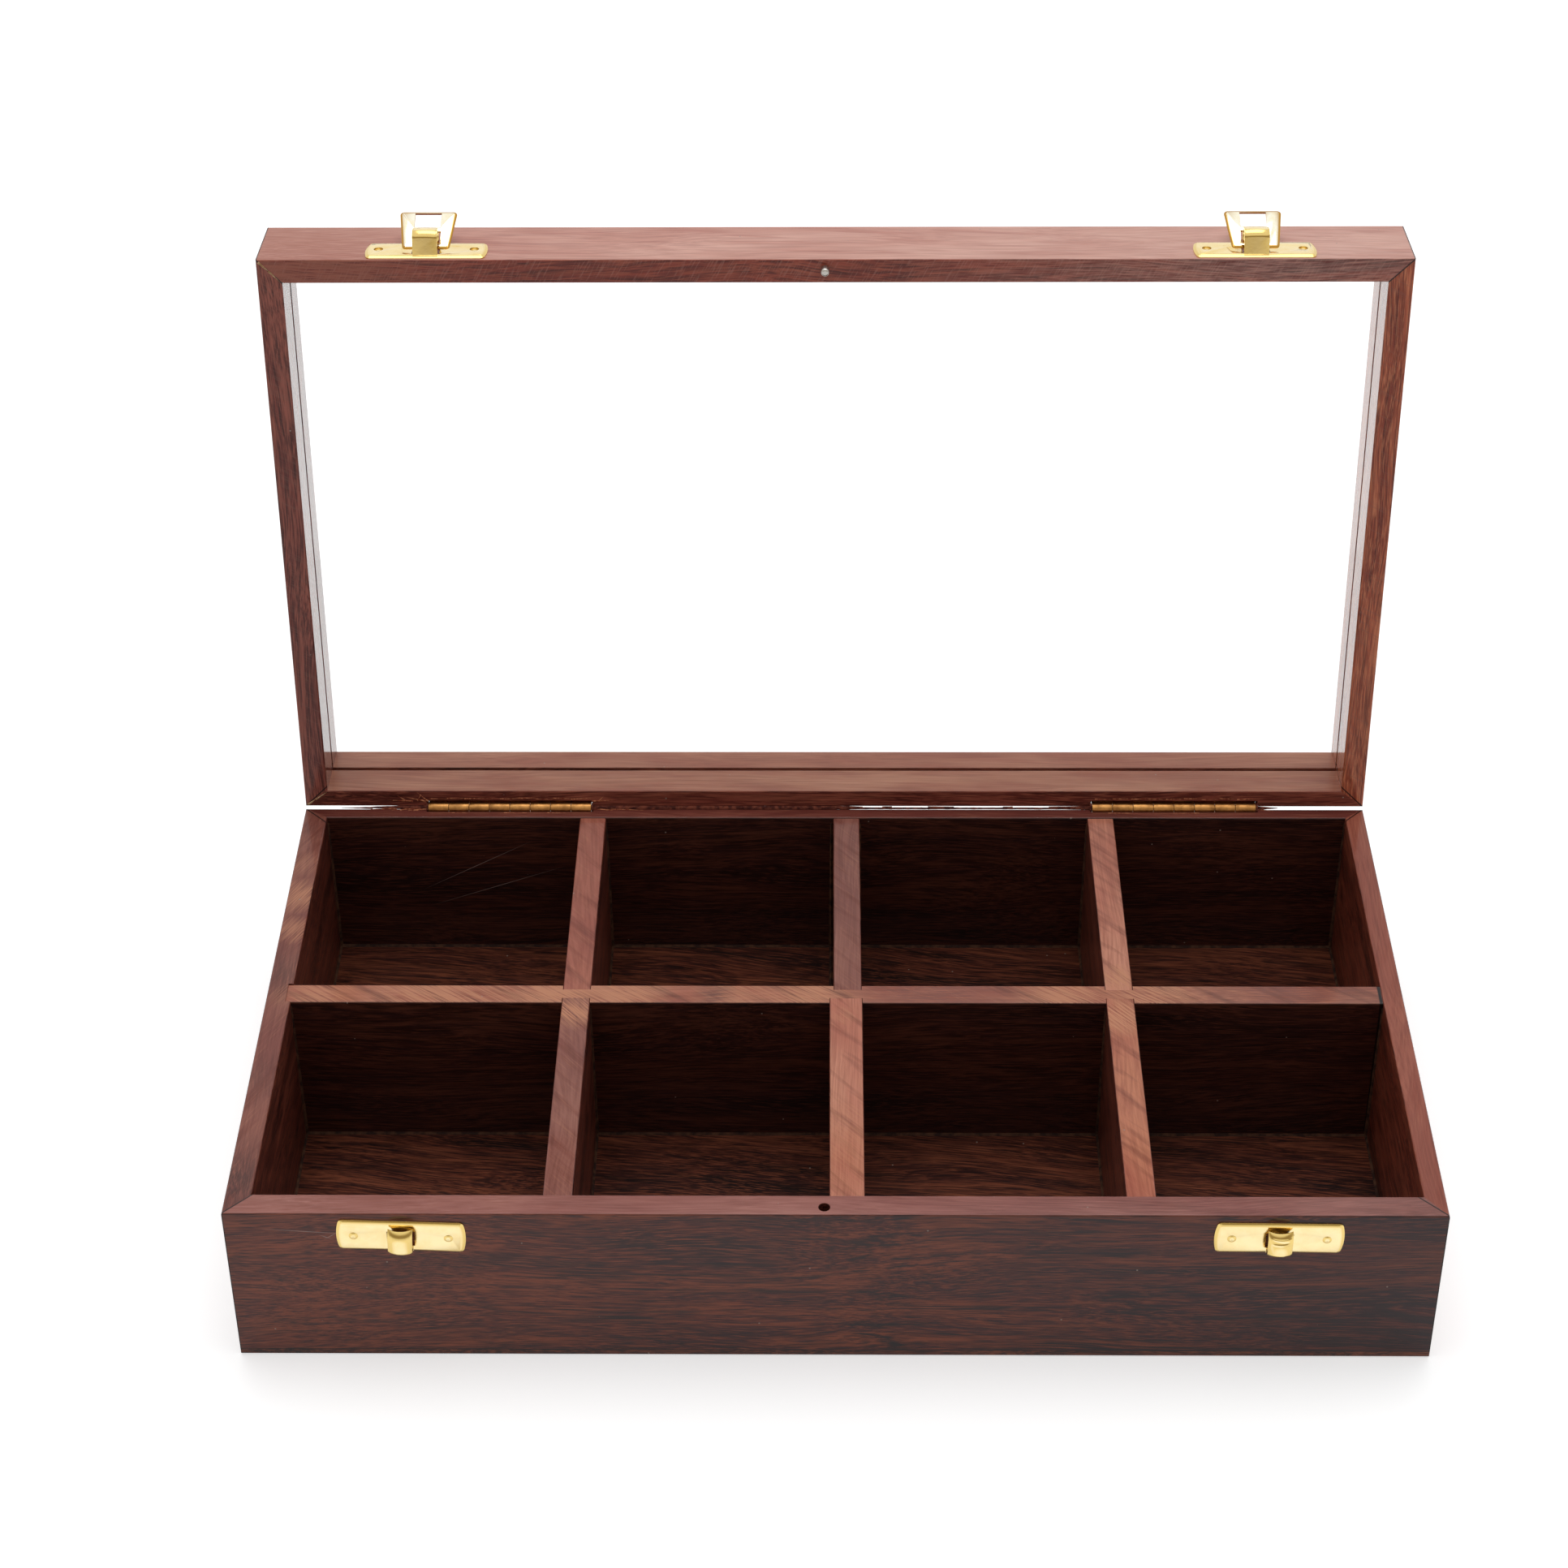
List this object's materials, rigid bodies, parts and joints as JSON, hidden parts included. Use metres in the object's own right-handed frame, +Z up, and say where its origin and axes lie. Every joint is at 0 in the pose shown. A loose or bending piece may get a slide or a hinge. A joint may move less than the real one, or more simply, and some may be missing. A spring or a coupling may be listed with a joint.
{
  "type": "tea bag organizer box",
  "caption": "Hardwood tea bag box with a grid of open compartments, a hinged glass lid and brass slip hasps that hook onto catches on the front.",
  "frame": {"origin": "centre of the underside of the base panel, on the surface that the box stands on", "axes": "+X along the long front to the right as the latches are faced, +Y from the front to the hinged back, +Z up; the lid stands open at rest"},
  "size_m": [0.324, 0.2239, 0.2378],
  "materials": {
    "rosewood": "satin lacquer",
    "rosewood_divider": "satin lacquer",
    "base_wood": "satin lacquer",
    "clear_glass": "polished",
    "polished_brass": "polished",
    "aged_brass": "dull",
    "steel_pin": "bright"
  },
  "bodies": {
    "box": {"front_wall": "rosewood", "back_wall": "rosewood", "left_wall": "rosewood", "right_wall": "rosewood", "long_divider": "rosewood_divider", "back_left_divider": "rosewood_divider", "back_middle_divider": "rosewood_divider", "back_right_divider": "rosewood_divider", "front_left_divider": "rosewood_divider", "front_middle_divider": "rosewood_divider", "front_right_divider": "rosewood_divider", "base_panel": "base_wood", "left_catch_plate": "polished_brass", "right_catch_plate": "polished_brass", "catch_rivets": "polished_brass", "left_hinge_lower_leaf": "aged_brass", "right_hinge_lower_leaf": "aged_brass", "left_hinge_pin": "aged_brass", "right_hinge_pin": "aged_brass", "lower_hinge_screws": "aged_brass"},
    "lid": {"lid_back_rail": "rosewood", "lid_front_rail": "rosewood", "lid_left_rail": "rosewood", "lid_right_rail": "rosewood", "glass_pane": "clear_glass", "left_hinge_upper_leaf": "aged_brass", "right_hinge_upper_leaf": "aged_brass", "upper_hinge_screws": "aged_brass", "left_eye_plate": "polished_brass", "right_eye_plate": "polished_brass", "eye_plate_nails": "polished_brass", "locating_pin": "steel_pin"},
    "left_hasp": {"left_hasp": "polished_brass"},
    "right_hasp": {"right_hasp": "polished_brass"}
  },
  "joints": [
    {"name": "lid_hinge", "type": "hinge", "parent": "box", "child": "lid", "pos_m": [0, 0.0899, 0.05265], "axis": [1, 0, 0], "range_deg": [0, 95.2]},
    {"name": "left_hasp_hinge", "type": "hinge", "parent": "lid", "child": "left_hasp", "pos_m": [-0.1146, 0.11146, 0.23274], "axis": [1, 0, 0], "range_deg": [-29, 156]},
    {"name": "right_hasp_hinge", "type": "hinge", "parent": "lid", "child": "right_hasp", "pos_m": [0.1178, 0.11146, 0.23274], "axis": [1, 0, 0], "range_deg": [-29, 156]}
  ]
}
